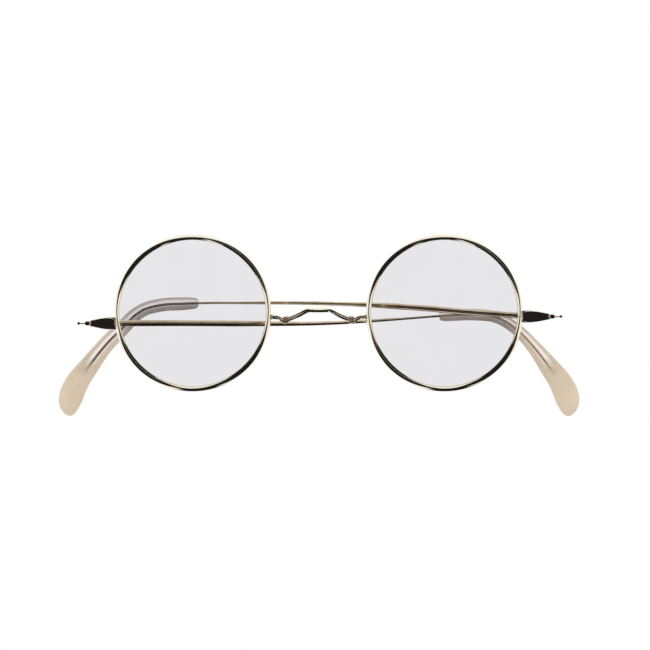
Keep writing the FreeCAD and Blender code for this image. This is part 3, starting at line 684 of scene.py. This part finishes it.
tip = {
    # share of the tip's length, half width, thickness over width
    "shape": {
        "left": [(0.0, 0.95, 1.0), (0.006, 1.32, 1.0), (0.014, 1.50, 1.0), (0.03, 1.62, 1.0),
                 (0.09, 1.80, 1.0), (0.30, 1.80, 0.97), (0.44, 2.08, 0.80), (0.60, 2.26, 0.64),
                 (0.70, 2.66, 0.52), (0.80, 3.12, 0.43), (0.87, 3.36, 0.39), (0.92, 3.3, 0.39),
                 (1.0, 3.0, 0.39)],
        "right": [(0.0, 0.95, 1.0), (0.006, 1.26, 1.0), (0.014, 1.42, 1.0), (0.03, 1.52, 1.0),
                  (0.09, 1.60, 1.0), (0.30, 1.56, 0.98), (0.44, 1.62, 0.92), (0.54, 1.84, 0.78),
                  (0.62, 2.16, 0.64), (0.70, 2.62, 0.52), (0.80, 3.12, 0.43), (0.87, 3.36, 0.39),
                  (0.92, 3.3, 0.39), (1.0, 3.0, 0.39)],
    },
    "endRadius": 5.4,
    "sections": 32,
    # where the sections lie: at the mouth, then evenly, then closer as the end rounds off
    "mouth": (0.0, 0.25, 0.6, 1.2, 2.4),
    "first": 4.0,
    "step": 1.6,
    "closing": (1.0, 0.75, 0.52, 0.33, 0.18, 0.08, 0.02, 0.0),
    "bands": 40,
}


def blend(table, at):
    for (a, *low), (b, *high) in zip(table, table[1:]):
        if at <= b:
            part = max(0.0, (at - a) / (b - a))
            return [p + (q - p) * part for p, q in zip(low, high)]
    return list(table[-1][1:])


def templeLine(side):
    # the temple's own plane: X runs out from the hinge axis, Z is up
    line = list(temple["start"][side]) + temple["runs"][side]
    line += [(temple["bend"] + beyond, height) for beyond, height in temple["drop"]]
    stretch = temple["stretch"][side]
    return [Vector((reach * stretch, 0, height)) for reach, height in line]


def samples(side):
    # points close together along the temple, with their distances from the flattened end
    freeSelection()
    bpy.ops.curve.primitive_bezier_curve_add(location=(0, 0, 0))
    line = bpy.context.object
    spline = line.data.splines[0]
    points = templeLine(side)
    line.data.dimensions = "3D"
    line.data.resolution_u = 40
    spline.bezier_points.add(len(points) - 2)
    for spot, place in zip(spline.bezier_points, points):
        spot.co = place
        spot.handle_left_type = "AUTO"
        spot.handle_right_type = "AUTO"
    bpy.ops.object.convert(target="MESH")
    track = bpy.context.object
    places = [vert.co.copy() for vert in track.data.vertices]
    bpy.data.objects.remove(track)
    distances = [0.0]
    for a, b in zip(places, places[1:]):
        distances.append(distances[-1] + (b - a).length)
    return places, distances


def pointAt(track, distance):
    places, distances = track
    if distance >= distances[-1]:
        return places[-1]
    for i in range(1, len(places)):
        if distances[i] >= distance:
            share = (distance - distances[i - 1]) / (distances[i] - distances[i - 1])
            return places[i - 1].lerp(places[i], share)


def placeTemple(piece, side):
    hinge = hinges["temple_" + side]
    fold = math.radians(temple["fold"][side])
    # mirrored on the left, then turned about the hinge axis
    turn = fold if side == "right" else -fold
    outward = temple["offset"] * mm
    shift = Vector((-math.sin(turn) * outward, math.cos(turn) * outward, 0))
    place = Vector((hinge.x, hinge.y, rimMiddle[side].z)) + shift
    settle(piece, place, (0, 0, turn), mirror=side == "left")


def makeWire(side):
    track = samples(side)
    total = track[1][-1]
    end = total - temple["coreShort"]
    count = temple["sections"]
    points = []
    radii = []
    for i in range(count):
        at = end * i / (count - 1)
        place = pointAt(track, at)
        points.append(place)
        radii.append(blend(temple["radii"], at - 0.6)[0])
    wire = wireAlong("templeWire_" + side, points, radii, sections=24)
    # the flattened end, full as far as the pad goes and easing off beyond it
    height = templeLine(side)[0].z * mm
    for near, far, share in temple["butt"]:
        pick(wire, lambda at: near * mm <= at.x < far * mm and at.z > -10 * mm)
        bpy.ops.transform.resize(
            value=(1, 1 + (temple["buttThin"] - 1) * share, 1 + (temple["buttTall"] - 1) * share),
            center_override=(0, 0, height))
    tidyMesh(wire)
    smooth(wire, 50)
    placeTemple(wire, side)
    smooth(wire, 50)
    # the temple wires take the darker gold copy, painted shade
    dress(wire, "temple_" + side, "temple_wire", wireGold, "temple_" + side)
    # the wire inside the tip: painted dark brown on the left as painted shade and dark reflection,
    # a pale copy on the right as a painted highlight line
    mouth = total - temple["tipLength"][side] + 0.2
    last = temple["coreSections"] - 1
    points = [pointAt(track, mouth + (end - mouth) * i / last + 0.01) for i in range(last + 1)]
    core = wireAlong("templeCore_" + side, points, [temple["core"]] * last + [temple["core"] * 0.9],
                     sections=16)
    tidyMesh(core)
    smooth(core, 50)
    placeTemple(core, side)
    smooth(core, 50)
    dress(core, "temple_" + side, "temple_wire", shadedCoreMetal if side == "left" else paintedLitCore,
          "temple_" + side)
    return track


def makeSleeve(side, track):
    total = track[1][-1]
    long = temple["tipLength"][side]
    start = total - long
    stations = list(tip["mouth"])
    at = tip["first"]
    while at < long - tip["endRadius"]:
        stations.append(at)
        at += tip["step"]
    stations += [long - tip["endRadius"] * left for left in tip["closing"]]
    points = []
    radii = []
    thin = []
    for at in stations:
        width, flat = blend(tip["shape"][side], at / long)
        left = (long - at) / tip["endRadius"]
        closing = 1.0 if left >= 1 else max(0.06, math.sqrt(max(0.0, 1 - (1 - left) ** 2)))
        points.append(pointAt(track, start + at))
        radii.append(width * closing)
        thin.append(flat if left >= 1 else flat + (0.62 - flat) * (1 - left) ** 3)
    sleeve = wireAlong("templeTip_" + side, points, radii, sections=tip["sections"], resolution=4)
    return sleeve, [(at / long, flat) for at, flat in zip(stations, thin)]


def marksOf(side, sleeve, track):
    # for each point, its share of the tip's length and how high it lies across the tip
    places, distances = track
    total = distances[-1]
    long = temple["tipLength"][side]
    first = next(i for i, distance in enumerate(distances) if distance > total - long - 1)
    along = []
    lift = []
    for vert in sleeve.data.vertices:
        spot = Vector((vert.co.x, 0, vert.co.z)) / mm
        nearest = min(range(first, len(places), 2), key=lambda i: (places[i] - spot).length_squared)
        share = max(0.0, min(1.0, (distances[nearest] - total + long) / long))
        along.append(share)
        run = (places[min(nearest + 1, len(places) - 1)] - places[nearest - 1]).normalized()
        upward = Vector((-run.z, 0, run.x))
        width = blend(tip["shape"][side], share)[0]
        lift.append(max(0.0, min(1.0, 0.5 + 0.5 * (spot - places[nearest]).dot(upward) / width)))
    return along, lift


def flatten(sleeve, along, flats):
    # band by band, towards the middle of the temple's plane
    bands = tip["bands"]
    for band in range(bands):
        low = band / bands
        high = (band + 1) / bands
        factor = blend(flats, (low + high) / 2)[0]
        if factor > 0.995:
            continue
        last = band == bands - 1
        chosen = {i for i, value in enumerate(along)
                  if low <= value < high or (last and value >= high)}
        pickNumbered(sleeve, chosen)
        bpy.ops.transform.resize(value=(1, factor, 1), center_override=(0, 0, 0))
    bpy.ops.object.mode_set(mode="OBJECT")


def makeTemple(side):
    track = makeWire(side)
    sleeve, flats = makeSleeve(side, track)
    along, lift = marksOf(side, sleeve, track)
    flatten(sleeve, along, flats)
    for word, values in (("along", along), ("lift", lift)):
        mark = sleeve.data.attributes.new(word, "FLOAT", "POINT")
        for item, value in zip(mark.data, values):
            item.value = value
    tidyMesh(sleeve, 0.001)
    smooth(sleeve, 60)
    placeTemple(sleeve, side)
    smooth(sleeve, 60)
    dress(sleeve, "temple_" + side, "temple_tip", tipLook, "temple_tip_" + side)


for side in sides:
    makeTemple(side)
print("temples done")


# Blocks, hinges and screws keep their CAD shapes
for name, node in nodes.items():
    if name.startswith(("closing_block", "hinge_front", "hinge_temple")):
        look = gold
    elif "screw" in name:
        look = steel
    else:
        continue
    for spot in node.material_slots:
        spot.material = look
print("small parts done")


# Studio: a white tent whose front, where one looks in, is dark

studio = {
    "white": 1.0,
    "darkest": 0.012,
    "feather": 6.0,
    "armsPower": 1.6,
    "darkCone": 10.0,
    "darkArms": 100.0,
    "tiltDown": 0.06,
    "mattLight": 0.92,
    "topLight": 0.22,
    "stripMiddle": 0.08,
    "stripWide": 0.20,
    "stripDark": 0.012,
    "stripFar": 0.80,
    "stripTop": -0.04,
    "stripSoft": {"side": 0.10, "above": 0.06, "behind": 0.15},
    "cardMiddle": 0.15,
    "cardWide": 0.05,
    "cardLow": -0.02,
    "cardHigh": 0.30,
    "cardLight": 0.5,
    "cardEdge": 3.0,
    "floorBelow": 0.10,
    "floorSize": 4.0,
}


def makeWorld():
    world = bpy.data.worlds.new("whiteTent")
    bpy.context.scene.world = world
    world.use_nodes = True
    tree = world.node_tree
    tree.nodes.clear()
    out = addNode(tree, "ShaderNodeOutputWorld")
    back = addNode(tree, "ShaderNodeBackground")
    back.inputs["Strength"].default_value = studio["white"]
    place = addNode(tree, "ShaderNodeTexCoord")
    split = addNode(tree, "ShaderNodeSeparateXYZ")
    tree.links.new(place.outputs["Generated"], split.inputs["Vector"])

    def work(operation, a, b=None):
        item = addNode(tree, "ShaderNodeMath", operation=operation)
        for i, value in enumerate((a, b)):
            if value is None:
                continue
            if isinstance(value, (int, float)):
                item.inputs[i].default_value = value
            else:
                tree.links.new(value, item.inputs[i])
        return item.outputs[0]

    x, y, z = (split.outputs[i] for i in range(3))
    down = studio["tiltDown"]
    size = math.hypot(1, down)
    lifted = work("ADD", z, down / size)
    toward = work("ADD", work("MULTIPLY", y, -1 / size), work("MULTIPLY", z, -down / size))
    angle = work("MULTIPLY", work("ARCCOSINE", toward), 180 / math.pi)
    product = work("MULTIPLY", x, lifted)
    spread = work("ADD", work("MULTIPLY", x, x), work("MULTIPLY", lifted, lifted))
    arms = work("DIVIDE", work("MULTIPLY", work("ABSOLUTE", product), 2.0),
                work("MAXIMUM", spread, 0.0001))
    arms = work("POWER", arms, studio["armsPower"])
    edge = work("ADD", work("MULTIPLY", arms, studio["darkArms"]), studio["darkCone"])
    light = work("DIVIDE", work("SUBTRACT", angle, edge), studio["feather"])
    light = work("MAXIMUM", work("MINIMUM", light, 1.0), studio["darkest"])
    # a dark strip from the middle down to the floor, narrow from side to side
    across = work("ABSOLUTE", work("SUBTRACT", x, studio["stripMiddle"]))
    side = work("DIVIDE", work("SUBTRACT", across, studio["stripWide"]),
                studio["stripSoft"]["side"])
    above = work("DIVIDE", work("ADD", z, -studio["stripTop"]), studio["stripSoft"]["above"])
    behind = work("DIVIDE", work("SUBTRACT", y, studio["stripFar"]),
                  studio["stripSoft"]["behind"])
    strip = work("MAXIMUM", work("MAXIMUM", side, above), behind)
    strip = work("MAXIMUM", work("MINIMUM", strip, 1.0), studio["stripDark"])
    light = work("MINIMUM", light, strip)
    # a narrow lit card above and to one side of where one looks in
    aside = work("ABSOLUTE", work("SUBTRACT", x, studio["cardMiddle"]))
    card = work("SUBTRACT", 1.0, work("DIVIDE", aside, studio["cardWide"]))
    card = work("MULTIPLY", work("MAXIMUM", work("MULTIPLY", card, studio["cardEdge"]), 0.0),
                work("GREATER_THAN", z, studio["cardLow"]))
    card = work("MULTIPLY", card, work("LESS_THAN", z, studio["cardHigh"]))
    card = work("MULTIPLY", work("MINIMUM", card, 1.0), work("LESS_THAN", y, 0.0))
    light = work("MAXIMUM", light, work("MULTIPLY", card, studio["cardLight"]))
    # matt things are lit a little more from above than from below
    path = addNode(tree, "ShaderNodeLightPath")
    gloss = path.outputs["Is Glossy Ray"]
    matt = path.outputs["Is Diffuse Ray"]
    shade = work("ADD", work("MULTIPLY", z, studio["topLight"]), studio["mattLight"])
    plain = work("SUBTRACT", work("SUBTRACT", 1.0, gloss), matt)
    level = work("ADD", work("ADD", work("MULTIPLY", light, gloss), work("MULTIPLY", shade, matt)),
                 work("MAXIMUM", plain, 0.0))
    tree.links.new(level, back.inputs["Color"])
    tree.links.new(back.outputs["Background"], out.inputs["Surface"])


makeWorld()


def makeFloor():
    freeSelection()
    bpy.ops.mesh.primitive_plane_add(size=studio["floorSize"],
                                     location=(0, 0, cadBox[0][2] - studio["floorBelow"]))
    floor = bpy.context.object
    floor.name = "floor"
    paper, tree = newMaterial("paper")
    out = addNode(tree, "ShaderNodeOutputMaterial")
    white = addNode(tree, "ShaderNodeBsdfDiffuse")
    white.inputs["Color"].default_value = (0.9, 0.9, 0.9, 1)
    tree.links.new(white.outputs["BSDF"], out.inputs["Surface"])
    floor.data.materials.append(paper)
    floor.visible_glossy = False


makeFloor()

cameraSet = {"distance": 5.0, "width": 0.1755, "x": 1.755 * mm, "z": -3.39 * mm, "sensor": 36.0}


def makeCamera():
    freeSelection()
    bpy.ops.object.camera_add(location=(cameraSet["x"], -cameraSet["distance"], cameraSet["z"]),
                              rotation=(math.pi / 2, 0, 0))
    camera = bpy.context.object
    camera.data.sensor_width = cameraSet["sensor"]
    camera.data.lens = cameraSet["sensor"] * cameraSet["distance"] / cameraSet["width"]
    camera.data.clip_end = 50.0
    bpy.context.scene.camera = camera


makeCamera()
bpy.context.scene.view_settings.view_transform = "Standard"
print("studio done")
